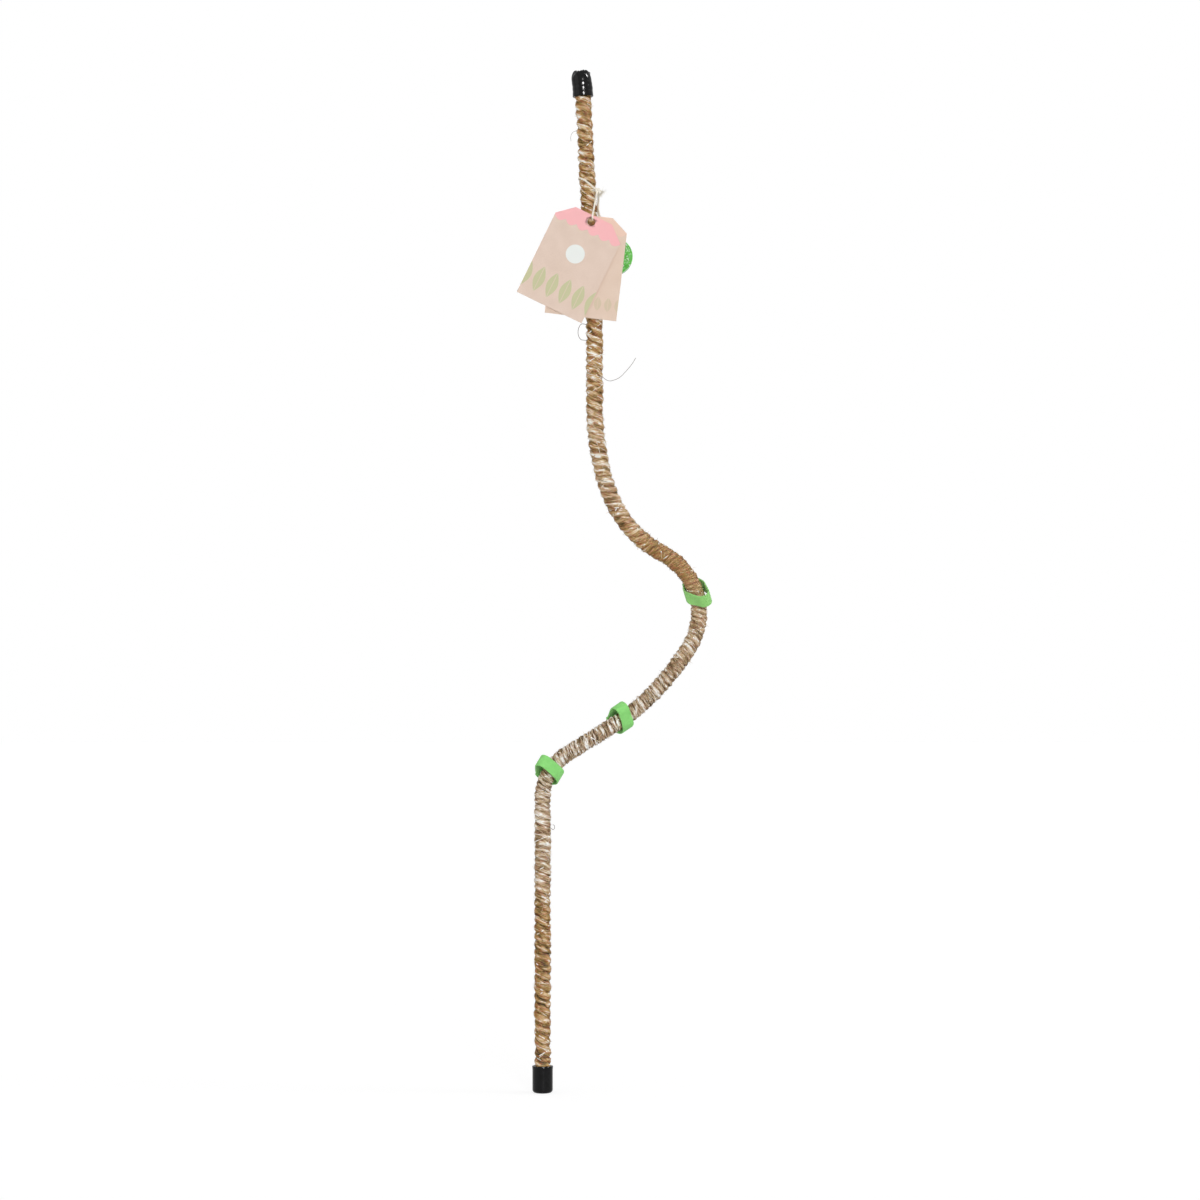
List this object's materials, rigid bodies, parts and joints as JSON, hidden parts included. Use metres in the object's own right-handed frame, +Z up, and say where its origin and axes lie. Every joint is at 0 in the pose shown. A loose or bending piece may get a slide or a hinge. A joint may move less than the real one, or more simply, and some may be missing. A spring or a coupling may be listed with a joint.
{
  "type": "bendable coir plant pole",
  "caption": "Bendable coir plant pole bent in an S, with a black end cap, card hang tags on twine, a roll of green tie tape and green strap ties.",
  "frame": {"origin": "middle of the foot cap's flat end", "axes": "+Z up the straight foot of the pole, +X the way the lowest bend turns, -Y towards the side where the tags hang"},
  "size_m": [0.1845, 0.0455, 0.9673],
  "materials": {
    "steel_wire": "drawn steel wire",
    "sleeve_plastic": "matt dark sleeve",
    "coir_fibre": "coarse brown coir fibre",
    "black_vinyl": "glossy black vinyl",
    "cotton_twine": "twisted cream twine",
    "kraft_card": "uncoated kraft card",
    "core_paper": "plain paperboard ring",
    "roll_green": "green hook-and-loop tape",
    "tie_green": "light green hook-and-loop strap"
  },
  "bodies": {
    "pole_section_1": {"core_wire_1": "steel_wire", "core_sleeve_1": "sleeve_plastic", "coir_wrap_1": "coir_fibre", "foot_cap": "black_vinyl"},
    "pole_section_2": {"core_wire_2": "steel_wire", "core_sleeve_2": "sleeve_plastic", "coir_wrap_2": "coir_fibre"},
    "pole_section_3": {"core_wire_3": "steel_wire", "core_sleeve_3": "sleeve_plastic", "coir_wrap_3": "coir_fibre"},
    "pole_section_4": {"core_wire_4": "steel_wire", "core_sleeve_4": "sleeve_plastic", "coir_wrap_4": "coir_fibre"},
    "pole_section_5": {"core_wire_5": "steel_wire", "core_sleeve_5": "sleeve_plastic", "coir_wrap_5": "coir_fibre"},
    "pole_section_6": {"core_wire_6": "steel_wire", "core_sleeve_6": "sleeve_plastic", "coir_wrap_6": "coir_fibre"},
    "pole_section_7": {"core_wire_7": "steel_wire", "core_sleeve_7": "sleeve_plastic", "coir_wrap_7": "coir_fibre", "hang_twine": "cotton_twine"},
    "pole_section_8": {"core_wire_8": "steel_wire", "core_sleeve_8": "sleeve_plastic", "coir_wrap_8": "coir_fibre", "top_cap": "black_vinyl"},
    "front_tag_card": {"front_tag": "kraft_card"},
    "rear_tag_card": {"rear_tag": "kraft_card"},
    "tape_roll": {"roll_core": "core_paper", "roll_tape": "roll_green"},
    "low_tie_loop": {"low_tie": "tie_green"},
    "mid_tie_loop": {"mid_tie": "tie_green"},
    "high_tie_loop": {"high_tie": "tie_green"}
  },
  "joints": [
    {"name": "foot_bend", "type": "hinge", "parent": "pole_section_1", "child": "pole_section_2", "pos_m": [0, 0, 0.18495], "axis": [0, 1, 0], "range_deg": [-25, 25]},
    {"name": "low_bend", "type": "hinge", "parent": "pole_section_2", "child": "pole_section_3", "pos_m": [0.04242, 0, 0.33107], "axis": [0.5299, 0, -0.848], "range_deg": [-25, 25]},
    {"name": "rise_bend", "type": "hinge", "parent": "pole_section_3", "child": "pole_section_4", "pos_m": [0.12572, 0, 0.40152], "axis": [0, 1, 0], "range_deg": [-25, 25]},
    {"name": "back_bend", "type": "hinge", "parent": "pole_section_4", "child": "pole_section_5", "pos_m": [0.10121, 0, 0.516], "axis": [0.5682, 0, 0.8229], "range_deg": [-25, 25]},
    {"name": "neck_bend", "type": "hinge", "parent": "pole_section_5", "child": "pole_section_6", "pos_m": [0.05338, 0, 0.60072], "axis": [0, 1, 0], "range_deg": [-25, 25]},
    {"name": "tag_bend", "type": "hinge", "parent": "pole_section_6", "child": "pole_section_7", "pos_m": [0.04892, 0, 0.69888], "axis": [1, 0, 0], "range_deg": [-25, 25]},
    {"name": "tip_bend", "type": "hinge", "parent": "pole_section_7", "child": "pole_section_8", "pos_m": [0.0408, 0, 0.88908], "axis": [0, 1, 0], "range_deg": [-25, 25]},
    {"name": "front_tag_swing", "type": "hinge", "parent": "pole_section_7", "child": "front_tag_card", "pos_m": [0.04698, -0.0113, 0.82403], "axis": [0, 1, 0], "range_deg": [-45, 45]},
    {"name": "rear_tag_swing", "type": "hinge", "parent": "pole_section_7", "child": "rear_tag_card", "pos_m": [0.04698, -0.0104, 0.82403], "axis": [0, 1, 0], "range_deg": [-45, 45]},
    {"name": "roll_swing", "type": "hinge", "parent": "pole_section_7", "child": "tape_roll", "pos_m": [0.06808, 0.01425, 0.79593], "axis": [0, 1, 0], "range_deg": [-45, 45]},
    {"name": "low_tie_turn", "type": "hinge", "parent": "pole_section_2", "child": "low_tie_loop", "pos_m": [0.00687, 0, 0.3027], "axis": [0.5156, 0, 0.8569], "continuous": true},
    {"name": "mid_tie_turn", "type": "hinge", "parent": "pole_section_3", "child": "mid_tie_loop", "pos_m": [0.07432, 0, 0.35116], "axis": [0.8276, 0, 0.5613], "continuous": true},
    {"name": "high_tie_turn", "type": "hinge", "parent": "pole_section_4", "child": "high_tie_loop", "pos_m": [0.14506, 0, 0.47051], "axis": [-0.2916, 0, 0.9565], "continuous": true}
  ]
}
